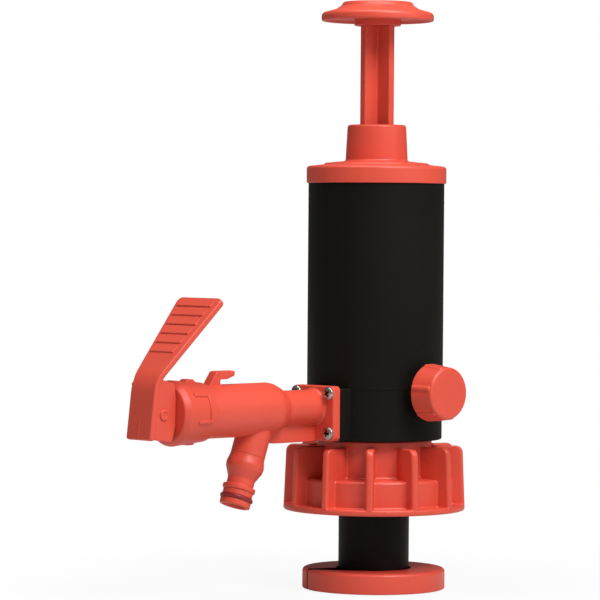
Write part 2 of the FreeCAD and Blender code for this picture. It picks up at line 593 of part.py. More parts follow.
def tap_body():
    """The tap: flange, pipe, valve chamber, spout stub, web and hook in one moulding."""
    body = new_body("tap_body", "tap")
    revolve(body, [
        ("passage_radius", flange_back), ("pipe_radius", flange_back), ("pipe_radius", shoulder_base),
        ("pipe_radius + (valve_radius - pipe_radius) * 0.5", shoulder_base + " + shoulder_length * 0.25"),
        ("valve_radius - 0.8", shoulder_base + " + shoulder_length * 0.65"),
        ("valve_radius", valve_base), ("valve_radius", valve_end),
        (collar_bore + " - running_fit", valve_end),
        (collar_bore + " - running_fit", valve_end + " + socket_length"),
        ("valve_bore", valve_end + " + socket_length"), ("valve_bore", chamber_base),
        ("seat_radius", chamber_base), ("seat_radius", chamber_base + " - seat_thickness"),
        ("passage_radius", chamber_base + " - seat_thickness")])
    low = "(-flange_drop - flange_height / 2)"
    high = "(flange_height / 2 - flange_drop)"
    plate = new_sketch(body, "XY_Plane", flange_back)
    outline(plate, [("-boss_half_width", low), ("boss_half_width", low),
                    ("boss_half_width", high), ("-boss_half_width", high)])
    circle(plate, "0", "0", "passage_radius")
    for side in ("-", ""):
        for level in ("-", "+"):
            circle(plate, side + "screw_spacing_wide / 2",
                   "-flange_drop %s screw_spacing_high / 2" % level, "screw_radius")
    flange = pad(body, plate, "flange_thickness")
    half_width = value("boss_half_width")

    def flange_corner(edge):
        box = edge.BoundBox
        upright = box.ZLength > 1 and box.XLength < 0.01 and box.YLength < 0.01
        return upright and abs(abs(box.Center.x) - half_width) < 0.01
    rounded(body, flange, "flange_round", flange_corner)
    web = outline(new_sketch(body, "YZ_Plane"), [
        ("-web_depth", flange_front + " - 1"), ("-web_depth", web_reach),
        ("-valve_radius + 1", web_reach + " + 7"), ("-pipe_radius + 2", web_reach + " + 3"),
        ("-pipe_radius + 2", flange_front + " - 1")])
    pad(body, web, "web_thickness", midplane=True)
    hook = outline(new_sketch(body, "YZ_Plane"), [
        ("valve_radius - 1.5", valve_end + " - hook_foot"),
        ("valve_radius - 1.5", valve_end + " - hook_stem_back"),
        (hook_top + " - hook_arm", valve_end + " - hook_stem_back"),
        (hook_top + " - hook_arm", valve_end + " - hook_reach"), (hook_top, valve_end + " - hook_reach"),
        (hook_top, valve_end + " - hook_stem_front"), ("valve_radius", valve_end + " - hook_foot")])
    pad(body, hook, "hook_width", midplane=True)
    spigot_length = "stub_length + stub_engagement"
    for radius, length in (("stub_radius", "stub_length"), ("stub_spigot", spigot_length)):
        stub = circle(spout_sketch(body), "0", "0", radius)
        pad(body, stub, length)
    seat_base = "(%s - seat_thickness)" % chamber_base
    for radius, base, length in (
            ("valve_bore", chamber_base, valve_end + " + socket_length - " + chamber_base),
            ("seat_radius", seat_base, "seat_thickness"),
            ("passage_radius", shoulder_base, "%s - %s" % (seat_base, shoulder_base))):
        bore = circle(new_sketch(body, "XY_Plane", base), "0", "0", radius)
        pocket(body, bore, length, backwards=True)
    outlet = circle(spout_sketch(body), "0", "0", "spout_bore")
    pocket(body, outlet, "stub_length + nozzle_length", backwards=True)
    ring_piece("valve_seat", "passage_radius", "seat_radius", chamber_base + " - seat_thickness",
               chamber_base, "tap")


def spout_sketch(body):
    """A sketch in the tap's frame, square to the spout's axis, at the axis's upper end."""
    return new_sketch(body, "XY_Plane", spout_root, tilt="90 - spout_tilt")


def spout_nozzle():
    """The nozzle pushed on the stub, with a bead and a seal ring for a hose."""
    start = "stub_length"
    end = "(stub_length + nozzle_length)"
    socket_end = "(stub_length + stub_engagement + axial_gap)"
    ring_at = "(stub_length + nozzle_ring_height)"
    body = new_body("spout_nozzle", "spout")
    revolve(body, [
        ("stub_spigot", start), ("stub_radius", start), ("nozzle_belly", start + " + 5"),
        ("nozzle_belly - 0.6", start + " + 7.5"), ("nozzle_neck", start + " + 15"),
        ("nozzle_neck", start + " + 20.2"), ("nozzle_bead", start + " + 20.8"),
        ("nozzle_bead", start + " + 23.2"), ("nozzle_end - 0.4", start + " + 23.8"),
        ("nozzle_end - 0.4", ring_at + " - ring_section"),
        ("nozzle_end - ring_section", ring_at + " - ring_section"),
        ("nozzle_end - ring_section", ring_at + " + ring_section"),
        ("nozzle_end", ring_at + " + ring_section"),
        ("nozzle_end", end + " - 1.2"), ("nozzle_end - 1.2", end), ("nozzle_bore", end),
        ("nozzle_bore", socket_end), ("stub_spigot", socket_end)])
    seal_ring("spout_seal", "nozzle_end - 0.8", "ring_section", "spout", ring_at)


def tap_screws():
    """Four pan-head screws with cross recesses, through the flange into the boss."""
    pattern = new_body("one_tap_screw", "tap")
    revolve(pattern, screw_points(
        "screw_head_radius", "screw_head_height", "screw_radius", "screw_length", flange_front))
    recess = new_sketch(pattern, "XY_Plane", flange_front + " + screw_head_height")
    arm = "screw_head_radius * 0.55"
    blade = "0.45"
    outline(recess, [
        (arm, "-" + blade), (arm, blade), (blade, blade), (blade, arm), ("-" + blade, arm),
        ("-" + blade, blade), ("-" + arm, blade), ("-" + arm, "-" + blade), ("-" + blade, "-" + blade),
        ("-" + blade, "-" + arm), (blade, "-" + arm), (blade, "-" + blade)])
    pocket(pattern, recess, "screw_head_height * 0.6")
    group = []
    for side in (-1, 1):
        for level in (-1, 1):
            single = pattern.Shape.copy()
            single.translate(Vector(
                side * value("screw_spacing_wide / 2"), 0,
                level * value("screw_spacing_high / 2") - value("flange_drop")))
            group.append(single)
    screws = document.addObject("Part::Feature", "group_tap_screws")
    screws.Label = "tap_screws"
    screws.Shape = Part.makeCompound(group)
    return pattern


def tap_collar():
    """The bayonet cap that closes the valve chamber, with its gland, stem seal and spring."""
    body = new_body("tap_collar", "tap")
    revolve(body, [
        (collar_bore, valve_end), ("collar_back", valve_end),
        ("collar_front", collar_front_reach + " - collar_chamfer"),
        ("collar_front - 2", collar_front_reach), ("stem_radius + running_fit + 1", collar_front_reach),
        ("stem_radius + running_fit + 1", collar_front_reach + " - collar_end"),
        (collar_bore, collar_front_reach + " - collar_end")])
    side = outline(new_sketch(body, "YZ_Plane"), [
        ("collar_back - 1.5", valve_end), ("collar_back + 0.1", valve_end),
        ("collar_back + collar_lug_rise + 0.5", valve_end + " + collar_lug_length * 0.35"),
        ("collar_back + collar_lug_rise + 0.9", valve_end + " + collar_lug_length"),
        ("collar_back - 1.5", valve_end + " + collar_lug_length")])
    lug = pad(body, side, "collar_lug_width", midplane=True)
    ring_of(body, lug, "2")
    ring_piece("stem_gland", "stem_radius + running_fit", "gland_radius", gland_base,
               collar_front_reach + " - collar_end", "tap")
    ring_piece("stem_seal", "stem_radius + running_fit", "gland_radius", gland_base + " - stem_seal_length",
               gland_base, "tap")


def valve_stem():
    """The stem with the poppet that closes on the seat, and the lever's pin through its end."""
    head_base = "(%s + poppet_thickness + axial_gap)" % chamber_base
    head_top = "(%s + stem_head)" % head_base
    body = new_body("valve_stem", "tap")
    revolve(body, [
        ("0", head_base), ("seat_radius", head_base), ("seat_radius", head_top),
        ("stem_radius", head_top), ("stem_radius", pivot_reach + " + stem_tail"),
        ("0", pivot_reach + " + stem_tail")])
    hole = circle(new_sketch(body, "YZ_Plane"), "0", pivot_reach, "pivot_radius")
    pocket(body, hole, "stem_radius * 3", midplane=True)
    turned_piece("poppet_seal", [
        ("0", chamber_base + " + axial_gap"), ("seat_radius - 0.5", chamber_base + " + axial_gap"),
        ("seat_radius - 0.5", head_base), ("0", head_base)], "tap")
    pin = new_body("lever_pin", "tap")
    section = circle(new_sketch(pin, "YZ_Plane"), "0", pivot_reach, "pivot_radius")
    pad(pin, section, "lever_half_width * 2 - 0.4", midplane=True)
    low = "(%s + axial_gap)" % head_top
    high = "(%s - stem_seal_length - axial_gap)" % gland_base
    return_spring(low, high)


def return_spring(low, high):
    """A wound wire spring round the stem that pulls the poppet on to its seat."""
    length = "(%s - %s - 2 * spring_wire)" % (high, low)
    helix = document.addObject("Part::Helix", "spring_path")
    bind(helix, "Radius", "spring_radius")
    bind(helix, "Pitch", "%s / spring_turns" % length)
    bind(helix, "Height", length)
    wire = document.addObject("Part::Circle", "spring_wire_section")
    bind(wire, "Radius", "spring_wire")
    wire.Placement = FreeCAD.Placement(Vector(0, 0, 0), Rotation(Vector(1, 0, 0), 90))
    bind(wire, "Placement.Base.x", "spring_radius")
    document.recompute()
    spring = document.addObject("Part::Sweep", "swept_spring")
    spring.Label = "return_spring"
    spring.Sections = [wire]
    spring.Spine = (helix, ["Edge%d" % (number + 1) for number in range(len(helix.Shape.Edges))])
    spring.Solid = True
    spring.Frenet = True
    place(spring, "tap", low + " + spring_wire")


def lever():
    """The thumb lever: two cheeks and a front wall, bent back into a flared pad."""
    body = new_body("lever", "tap")
    front_top = "(%s + front_top_out)" % collar_front_reach
    front_bottom = "(%s + front_bottom_out)" % collar_front_reach
    back_mid = "(%s + back_mid_out)" % collar_front_reach
    tip = "(%s - pad_tip_back)" % collar_front_reach
    # how far the pad's underside lies behind and below its face
    run = "(%s - %s)" % (front_top, tip)
    rise = "(pad_tip_rise - lever_bend)"
    slope = "sqrt(%s * %s + %s * %s)" % (run, run, rise, rise)
    back_in = "pad_thickness * %s / %s" % (rise, slope)
    down_in = "pad_thickness * %s / %s" % (run, slope)
    knee = "(lever_shoulder + 8)"
    knee_back = "%s - %s * (%s + %s - lever_bend) / %s - %s" % (
        front_top, run, knee, down_in, rise, back_in)
    side = outline(new_sketch(body, "YZ_Plane"), [
        ("lever_bend", front_top), ("lever_bottom", front_bottom),
        ("lever_bottom", collar_front_reach + " + heel_out"), ("lever_mid", back_mid),
        ("lever_shoulder", collar_front_reach + " + back_top_out"), (knee, knee_back),
        ("pad_tip_rise - " + down_in, "%s - %s" % (tip, back_in)), ("pad_tip_rise", tip)])
    pad(body, side, "pad_half_width * 2", midplane=True)
    trim = new_sketch(body, "XY_Plane", tip + " - 20")
    for sign in ("", "-"):
        outline(trim, [
            (sign + "lever_half_width", "lever_bottom - 5"), (sign + "lever_half_width", "lever_bend - 1"),
            (sign + "pad_half_width", "pad_tip_rise"), (sign + "pad_half_width * 1.5", "pad_tip_rise"),
            (sign + "pad_half_width * 1.5", "lever_bottom - 5")])
    pocket(body, trim, "%s + 30 - %s" % (front_bottom, tip), backwards=True)
    hollow = outline(new_sketch(body, "YZ_Plane"), [
        ("lever_bottom - 5", back_mid + " - 10"), ("lever_bottom - 5", front_bottom + " - lever_plate"),
        ("lever_bottom", front_bottom + " - lever_plate"),
        ("lever_bend - 4", front_top + " - lever_plate + 0.5"),
        ("lever_bend - 1", front_top + " - lever_plate - 6"), ("lever_shoulder + 3", back_mid + " - 10")])
    pocket(body, hollow, "(lever_half_width - lever_plate) * 2", midplane=True)
    hole = circle(new_sketch(body, "YZ_Plane"), "0", pivot_reach, "pivot_radius + running_fit")
    pocket(body, hole, "lever_half_width * 3", midplane=True)


# Relief valve

def relief_valve():
    """A nipple in the body's side, the stem and seal that close it, and the cap that screws on it."""
    flange_end = "(%s + nipple_flange)" % relief_boss_reach
    tail = "(%s - ledge_width - nipple_tail)" % cylinder_radius
    turned_piece("relief_nipple", [
        ("nipple_bore", tail), ("nipple_radius", tail), ("nipple_radius", relief_boss_reach),
        ("nipple_flange_radius", relief_boss_reach), ("nipple_flange_radius", flange_end),
        ("nipple_thread", flange_end), ("nipple_thread", nipple_front),
        ("nipple_bore", nipple_front)], "relief")
    seal_base = "(%s + seal_gap)" % nipple_front
    seal_top = "(%s + relief_seal_thickness)" % seal_base
    head_top = "(%s + relief_stem_head)" % seal_top
    ring_piece("relief_seal", "relief_stem_radius", "relief_head_radius", seal_base, seal_top, "relief")
    turned_piece("relief_stem", [
        ("0", tail + " + 2"), ("relief_stem_radius", tail + " + 2"), ("relief_stem_radius", seal_top),
        ("relief_head_radius", seal_top), ("relief_head_radius", head_top), ("0", head_top)], "relief")
    cap_front = "(%s + relief_cap_depth)" % relief_cap_back
    bore = "(nipple_flange_radius + thread_gap)"
    bore_end = "(%s + axial_gap)" % head_top
    body = new_body("relief_cap", "relief")
    shape = revolve(body, [
        (bore, relief_cap_back), ("relief_cap_radius", relief_cap_back), ("relief_cap_front", cap_front),
        ("0", cap_front), ("0", bore_end), (bore, bore_end)])
    rounded(body, shape, "relief_cap_round", rim("relief_cap_front", cap_front))
    grip = new_sketch(body, "XY_Plane", relief_cap_back + " + 1.5")
    place_x = "cos(grip_turn) * (relief_cap_radius + grip_rise - grip_radius)"
    place_y = "sin(grip_turn) * (relief_cap_radius + grip_rise - grip_radius)"
    circle(grip, place_x, place_y, "grip_radius")
    rib = pad(body, grip, "relief_cap_depth - 4")
    ring_of(body, rib, "grip_count")


def build():
    """Make every piece, and return the pattern screw, which is not a piece of its own."""
    foot_plate()
    neck_tube()
    riser_tube()
    clamp_nut()
    pump_body()
    valve_plate()
    top_cap()
    rod_guide()
    plunger_rod()
    piston()
    knob()
    tap_gasket()
    tap_body()
    spout_nozzle()
    tap_collar()
    valve_stem()
    lever()
    relief_valve()
    return tap_screws()


def pieces(spare):
    """The objects that are pieces of the pump."""
    kinds = ("PartDesign::Body", "Part::Torus", "Part::Sweep", "Part::Feature")
    return [item for item in document.Objects if item.TypeId in kinds and item is not spare]


def check(made):
    for item in document.Objects:
        if "Invalid" in item.State or "Error" in item.State:
            raise RuntimeError("%s failed: %s" % (item.Label, item.State))
    for item in made:
        if item.Shape.isNull() or not item.Shape.isValid() or not item.Shape.Solids:
            raise RuntimeError(item.Label + " has no good solid")


pattern_screw = build()
document.recompute()
made_pieces = pieces(pattern_screw)
check(made_pieces)
os.makedirs("parts", exist_ok=True)
for piece in made_pieces:
    piece.Shape.exportStep("parts/%s.step" % piece.Label)
    print("%-18s %9.0f mm3" % (piece.Label, piece.Shape.Volume))
print(len(made_pieces), "pieces")
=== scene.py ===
import json
from math import asin, atan2, cos, pi, radians, sin, tan, tau

import bmesh
import bpy
from mathutils import Matrix, Vector


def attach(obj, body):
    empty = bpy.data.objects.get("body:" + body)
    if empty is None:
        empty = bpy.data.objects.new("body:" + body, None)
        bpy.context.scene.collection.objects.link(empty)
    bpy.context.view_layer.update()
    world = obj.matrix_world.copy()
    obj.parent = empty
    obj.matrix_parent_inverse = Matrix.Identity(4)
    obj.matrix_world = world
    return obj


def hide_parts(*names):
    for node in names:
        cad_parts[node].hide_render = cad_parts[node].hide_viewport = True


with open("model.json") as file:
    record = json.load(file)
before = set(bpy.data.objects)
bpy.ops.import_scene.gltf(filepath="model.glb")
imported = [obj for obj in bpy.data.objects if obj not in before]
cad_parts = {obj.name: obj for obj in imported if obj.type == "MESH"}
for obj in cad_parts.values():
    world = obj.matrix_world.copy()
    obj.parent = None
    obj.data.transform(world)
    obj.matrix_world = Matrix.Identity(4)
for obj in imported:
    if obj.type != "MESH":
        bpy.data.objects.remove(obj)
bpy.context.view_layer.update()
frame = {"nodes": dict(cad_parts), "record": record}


# --- Foot plate -------------------------------------------------------------------------------
# A thick split disc of red polypropylene. It is moulded in one shot and springs on to the lower
# end of the neck, up to a small step.

def rounded(corners, steps=6):
    """The closed outline through (across, up, radius) corners, each turned with an arc."""
    points = []
    for place, (x, y, radius) in enumerate(corners):
        here = Vector((x, y))
        back = Vector(corners[place - 1][:2]) - here
        ahead = Vector(corners[(place + 1) % len(corners)][:2]) - here
        if radius == 0:
            points.append(here)
            continue
        half = back.angle(ahead) / 2
        reach = min(radius / tan(half), 0.49 * back.length, 0.49 * ahead.length)
        start = here + back.normalized() * reach
        centre = here + (back.normalized() + ahead.normalized()).normalized() * (reach / cos(half))
        first = start - centre
        turn = pi - 2 * half
        if back.x * ahead.y - back.y * ahead.x > 0:
            turn = -turn
        for step in range(steps + 1):
            points.append(centre + Matrix.Rotation(turn * step / steps, 2) @ first)
    return points


def skin(rings, ends="flat"):
    """A shell through rings of equal length, whose ends are flat, open or joined to each other."""
    shell = bmesh.new()
    grid = [[shell.verts.new(point) for point in ring] for ring in rings]
    count = len(rings[0])
    pairs = list(zip(grid, grid[1:]))
    if ends == "joined":
        pairs.append((grid[-1], grid[0]))
    for low, high in pairs:
        for k in range(count):
            shell.faces.new((low[k], low[(k + 1) % count], high[(k + 1) % count], high[k]))
    if ends == "flat":
        shell.faces.new(grid[0][::-1])
        shell.faces.new(grid[-1])
    bmesh.ops.remove_doubles(shell, verts=shell.verts, dist=1e-4)
    bmesh.ops.recalc_face_normals(shell, faces=shell.faces)
    return shell


def prism(outline, low, high, low_edge=0.6, high_edge=0.6, steps=4):
    """An outline raised from low to high, with its end edges rounded."""
    count = len(outline)
    shifts = []
    for k in range(count):
        back = (outline[k] - outline[k - 1]).normalized()
        ahead = (outline[(k + 1) % count] - outline[k]).normalized()
        first, second = Vector((back.y, -back.x)), Vector((ahead.y, -ahead.x))
        shifts.append((first + second) / max(1 + first.dot(second), 0.4))
    area = sum(a.x * b.y - b.x * a.y for a, b in zip(outline, outline[1:] + outline[:1]))
    inward = -1 if area > 0 else 1
    levels = []
    for step in range(steps + 1):
        angle = pi / 2 * step / steps
        levels.append((low + low_edge * (1 - sin(angle)), low_edge * (1 - cos(angle))))
    levels.reverse()
    for step in range(steps + 1):
        angle = pi / 2 * step / steps
        levels.append((high - high_edge * (1 - sin(angle)), high_edge * (1 - cos(angle))))
    rings = []
    for place, (height, inset) in enumerate(levels):
        rings.append([(*(point + shift * inset * inward), height) for point, shift in zip(outline, shifts)])
    return skin(rings)


def solid(name, shells, body, nodes, material):
    """One piece from shells in millimetres, set on its body in place of its nodes."""
    whole = bmesh.new()
    part = bpy.data.meshes.new(name)
    for shell, place in shells:
        shell.transform(Matrix.Scale(0.001, 4) @ place)
        shell.to_mesh(part)
        whole.from_mesh(part)
        shell.free()
    crease = radians(34)
    for face in whole.faces:
        face.smooth = True
    for edge in whole.edges:
        edge.smooth = not edge.is_manifold or edge.calc_face_angle() < crease
    whole.to_mesh(part)
    whole.free()
    part.materials.append(material)
    piece = bpy.data.objects.new(name, part)
    bpy.context.scene.collection.objects.link(piece)
    even = piece.modifiers.new("even", "WEIGHTED_NORMAL")
    even.keep_sharp = True
    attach(piece, body)
    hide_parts(*nodes)


class Wire:
    """A shader socket. Arithmetic on it adds Math nodes, or Vector Math nodes on a vector."""

    def __init__(self, tree, socket):
        self.tree = tree
        self.socket = socket

    def node(self, kind, settings, values, out=0):
        """Any node, with its settings set first, then its sockets' values or links."""
        made = self.tree.nodes.new(kind)
        for key, value in settings.items():
            setattr(made, key, value)
        for key, value in values.items():
            named = [s for s in made.inputs if key in (s.identifier, s.name)]
            target = named[0] if named else made.inputs[key]
            if isinstance(value, Wire):
                self.tree.links.new(value.socket, target)
            else:
                target.default_value = value
        if isinstance(out, str):
            return Wire(self.tree, next(s for s in made.outputs if s.identifier == out))
        return Wire(self.tree, made.outputs[out])

    def math(self, operation, first, second):
        """A Math node, or a Vector Math node where this socket is a vector."""
        kind = "ShaderNodeVectorMath" if self.socket.type == "VECTOR" else "ShaderNodeMath"
        return self.node(kind, {"operation": operation}, {0: first, 1: second})

    def __add__(self, other):
        return self.math("ADD", self, other)

    def __radd__(self, other):
        return self.math("ADD", other, self)

    def __mul__(self, other):
        return self.math("MULTIPLY", self, other)

    def __rmul__(self, other):
        return self.math("MULTIPLY", other, self)

    def between(self, low, high):
        """0 up to low, 1 from high, smooth between them."""
        return self.node("ShaderNodeMapRange", {"interpolation_type": "SMOOTHSTEP"},
                         {"Value": self, "From Min": low, "From Max": high})

    def tint(self, low, high):
        """The colour low where this is 0, and high where it is 1."""
        return self.node("ShaderNodeMix", {"data_type": "RGBA"},
                         {"Factor_Float": self, "A_Color": low, "B_Color": high}, "Result_Color")


def noise(place, scale, detail=2.0, rough=0.5):
    """A noise texture at this many features a metre."""
    return place.node("ShaderNodeTexNoise", {}, {
        "Vector": place, "Scale": scale, "Detail": detail, "Roughness": rough})


def moulded(name, colour, deep, rough, peel, scuff=0.12, sheen=0.5):
    """Moulded plastic: cloudy pigment, orange-peel skin, and scuffs that dull the gloss."""
    material = bpy.data.materials.new(name)
    material.use_nodes = True
    tree = material.node_tree
    shader = tree.nodes["Principled BSDF"]
    place = Wire(tree, tree.nodes.new("ShaderNodeTexCoord").outputs["Object"])
    cloud = noise(place, 22.0, 4.0).between(0.3, 0.7)
    tree.links.new(cloud.tint((*deep, 1), (*colour, 1)).socket, shader.inputs["Base Color"])
    rubbed = noise(place * (1.0, 1.0, 0.25), 160.0, 6.0, 0.7).between(0.5, 0.75)
    handled = noise(place, 9.0, 2.0).between(0.35, 0.75)
    dulled = rough + rubbed * scuff * 0.6 + handled * scuff
    tree.links.new(dulled.socket, shader.inputs["Roughness"])
    skin_height = noise(place, 900.0, 3.0) * 0.6 + noise(place, 190.0, 2.0)
    bump = skin_height.node("ShaderNodeBump", {}, {
        "Height": skin_height, "Strength": peel, "Distance": 0.0004})
    tree.links.new(bump.socket, shader.inputs["Normal"])
    shader.inputs["Specular IOR Level"].default_value = sheen
    return material


RED = (0.72, 0.079, 0.045)
DEEP_RED = (0.68, 0.071, 0.039)
red = moulded("red_moulding", RED, DEEP_RED, 0.36, 0.10)


def arc(radius, start, stop, steps):
    """Points along part of a circle about the middle."""
    angles = [start + (stop - start) * k / steps for k in range(steps + 1)]
    return [Vector((cos(angle), sin(angle))) * radius for angle in angles]


foot_radius, seat_radius, foot_thick, slot_half = 52.5, 25.1, 15.0, 1.1
outer_bevel, inner_bevel = 0.55, 0.4
outer_turn, inner_turn = 0.02, 0.03
slot_out = asin(slot_half / foot_radius) + outer_turn
slot_in = asin(slot_half / seat_radius) + inner_turn
slot_start, slot_end = seat_radius + inner_bevel, foot_radius - outer_bevel
plate = arc(foot_radius, slot_out, tau - slot_out, 120)
plate += [Vector((slot_end, -slot_half)), Vector((slot_start, -slot_half))]
plate += arc(seat_radius, tau - slot_in, slot_in, 80)
plate += [Vector((slot_start, slot_half)), Vector((slot_end, slot_half))]
bearing = Matrix.Rotation(radians(-113), 4, "Z")
solid("foot_plate_look", [(prism(plate, 0, foot_thick, 1.0, 2.5, 6), bearing)],
      "base", ["foot_plate"], red)


# --- Neck tube --------------------------------------------------------------------------------
# The black tube that goes down the drum's bung. It is turned true after moulding, so that the
# clamp nut swivels on it, and is welded up into the floor of the pump body.

UP = Matrix.Identity(4)


def lathe(corners, turns=120, steps=6):
    """An outline of (radius, height, rounding) corners turned about Z."""
    outline = rounded(corners, steps)
    rings = []
    for k in range(turns):
        across = Vector((cos(tau * k / turns), sin(tau * k / turns)))
        rings.append([(*(across * radius), height) for radius, height in outline])
    return skin(rings, "joined")


BLACK = (0.0070, 0.0061, 0.0046)
DEEP_BLACK = (0.0060, 0.0053, 0.0040)
black = moulded("black_moulding", BLACK, DEEP_BLACK, 0.44, 0.16, scuff=0.14, sheen=0.10)
tube = lathe([
    (23, 0.5, 0.6), (25, 0.5, 0.6), (25, 14.9, 0), (26, 15.1, 0.4), (26, 58, 0), (25.7, 58, 0),
    (25.7, 89.5, 0), (24.8, 89.5, 0), (24.8, 92, 0), (25.7, 92, 0), (25.7, 116.2, 0), (23, 116.2, 0)])
solid("neck_tube_look", [(tube, UP)], "base", ["neck_tube"], black)


# --- Clamp nut --------------------------------------------------------------------------------
# The red coupling nut that screws down on the drum's collar. It is one moulding with twelve grip
# fins, and swivels on the neck, where its web rests on a steel clip.

nut_rim, nut_low, nut_top = 66.8, 58.0, 110.0
nut_step, step_top, nut_core = 56.5, 82.6, 41.0
fin_low, fin_high, fin_half = 62.0, 100.5, 2.7
fin_count, fin_turn, fin_lean = 12, radians(12), 1.8 / 43.4
fin_round, fin_fillet = 2.1, 1.6


def finned(height, core, half, tip, rounding):
    """The nut's outline at one height: core arcs, small fillets and fins with rounded tips."""
    points = []
    pitch = tau / fin_count
    foot = (core * core - (half + fin_fillet) ** 2) ** 0.5
    edge = []
    for k in range(5):
        turn = pi / 2 * k / 4
        edge.append((foot + fin_fillet * (1 - cos(turn)), half + fin_fillet * (1 - sin(turn))))
    for k in range(6):
        turn = pi / 2 * k / 5
        edge.append((tip - rounding * (1 - sin(turn)), half - rounding * (1 - cos(turn))))
    start = atan2(half + fin_fillet, foot)
    for fin in range(fin_count):
        middle = fin_turn + pitch * fin
        out, side = Vector((cos(middle), sin(middle))), Vector((-sin(middle), cos(middle)))
        points += [out * x - side * y for x, y in edge]
        points += [out * x + side * y for x, y in edge[::-1]]
        for k in range(1, 10):
            angle = middle + start + (pitch - 2 * start) * k / 10
            points.append(Vector((cos(angle), sin(angle))) * core)
    return [(*point, height) for point in points]


def gathered(ring, most, height):
    """A ring moved to another height, with no point further out than most."""
    moved = []
    for x, y, _ in ring:
        across = Vector((x, y))
        moved.append((*(across.normalized() * min(across.length, most)), height))
    return moved


rim_fillet, fin_swell, step_round, step_rise, core_fillet = 2.0, 0.9, 2.8, 2.5, 2.4
rim_hair, core_hair = 0.01, 0.001
levels = []
for k in range(6):
    turn = pi / 2 * k / 5
    levels.append((fin_low + rim_fillet * (1 - cos(turn)) + rim_hair * k,
                   nut_step + rim_fillet * (1 - sin(turn)), fin_half + fin_swell * (1 - sin(turn))))
levels.append((step_top - step_round, nut_step, fin_half))
for k in range(1, 7):
    turn = pi / 2 * k / 6
    levels.append((step_top - step_round + step_rise * sin(turn),
                   nut_step - step_round * (1 - cos(turn)), fin_half))
for k in range(6):
    turn = pi / 2 * k / 5
    levels.append((step_top + core_fillet * (1 - cos(turn)) + core_hair * k,
                   nut_core + core_fillet * (1 - sin(turn)), fin_half))
levels.append((fin_high - 0.1, nut_core, fin_half))
rings = []
for height, core, half in levels:
    rings.append(finned(height, core, half, nut_rim - fin_lean * (height - fin_low), fin_round))
shoulder, shoulder_in, edge_round = 5.0, 1.6, 1.1
for k in range(1, 9):
    turn = pi / 2 * k / 8
    height = fin_high + shoulder * sin(turn)
    tip = nut_rim - shoulder_in - shoulder * (1 - cos(turn))
    lip = max(0.0, 1 - shoulder * (1 - sin(turn)) / edge_round)
    thin = edge_round * (1 - (1 - lip * lip) ** 0.5)
    rings.append(finned(height, nut_core, fin_half - thin, tip, fin_round - thin * 0.8))
sunk_foot, sunk_crown = gathered(rings[0], 64.5, 60.0), gathered(rings[-1], 40.0, 105.5)
fins = skin([sunk_foot, *rings, sunk_crown], "open")
core = lathe([
    (37, nut_low, 0.5), (nut_rim, nut_low, 1.6), (nut_rim, 62.5, 1.6), (47, 62.5, 0), (47, 82, 0),
    (40.5, 82, 0), (40.5, 105.3, 0), (42.2, 105.3, 0), (42.2, nut_top, 1.2), (38.2, nut_top, 0.5),
    (38.2, 98, 0), (25.75, 98, 0.4), (25.75, 92, 0.4), (37, 92, 0.5)], 180)
solid("clamp_nut_look", [(fins, UP), (core, UP)], "nut", ["clamp_nut"], red)


# --- Pump body --------------------------------------------------------------------------------
# One deep black moulding: the pump cylinder above, the air chamber below, and the bosses that the
# tap and the relief valve are fixed to. A seam shows where the chamber's core parted.

tap_height, relief_height = 135.5, 146.3
TAP = Matrix.Translation((0, 0, tap_height)) @ Matrix.Rotation(pi / 2, 4, "X")
RELIEF = Matrix.Translation((0, 0, relief_height)) @ Matrix.Rotation(pi / 2, 4, "Y")

barrel = lathe([
    (25.7, 110.2, 0), (49.5, 110.2, 1.2), (49.5, 148.0, 0.25), (49.9, 148.3, 0.25), (50, 148.6, 0),
    (50, 298, 0), (48, 298, 0), (48, 306, 0.4), (46.5, 306, 0.3), (46.5, 168.2, 0),
    (44.5, 168.2, 0), (44.5, 116.2, 0), (25.7, 116.2, 0)], 180)
boss = rounded([(-21.1, -25.3, 2.0), (21.1, -25.3, 2.0), (21.1, 13.7, 1.5), (-21.1, 13.7, 1.5)])
boss = prism(boss, 43.8, 55.3, 0.0, 1.0)
relief_boss = lathe([(9.2, 43.8, 0), (15, 43.8, 0), (15, 55.3, 0.6), (9.2, 55.3, 0)])
duct = lathe([(8, 0, 0), (11, 0, 0), (11, 50, 0), (8, 50, 0)], 64)
riser_seat = lathe([(10, 117.5, 0.3), (13, 117.5, 0.3), (13, 145, 0.5), (10, 145, 0)], 64)
solid("pump_body_look", [(barrel, UP), (boss, TAP), (relief_boss, RELIEF), (duct, TAP), (riser_seat, UP)],
      "base", ["pump_body"], black)


# --- Top cap ----------------------------------------------------------------------------------
# The red cap that closes the cylinder. It is pushed on the barrel's spigot and solvent-welded,
# and its turret holds the bush and the wiper that the plunger runs in.

cap = lathe([
    (48.05, 298, 0.3), (51.4, 298, 0.7), (51.4, 310.4, 2.3), (38.6, 311.9, 0.5), (38.0, 312.9, 0.7),
    (22.9, 314.4, 1.6), (21.5, 341, 2.0), (16, 341, 0.7), (16, 336, 0), (18, 336, 0), (18, 300, 0.3),
    (20.5, 300, 0.5), (20.5, 307.5, 1.0), (48.05, 307.5, 1.0)], 180)
solid("top_cap_look", [(cap, UP)], "base", ["top_cap"], red)


# --- Plunger rod ------------------------------------------------------------------------------
# A red cross-ribbed moulding, filleted between its ribs, that carries the knob above and the
# piston below. Each is held by a screw into the rod's end.

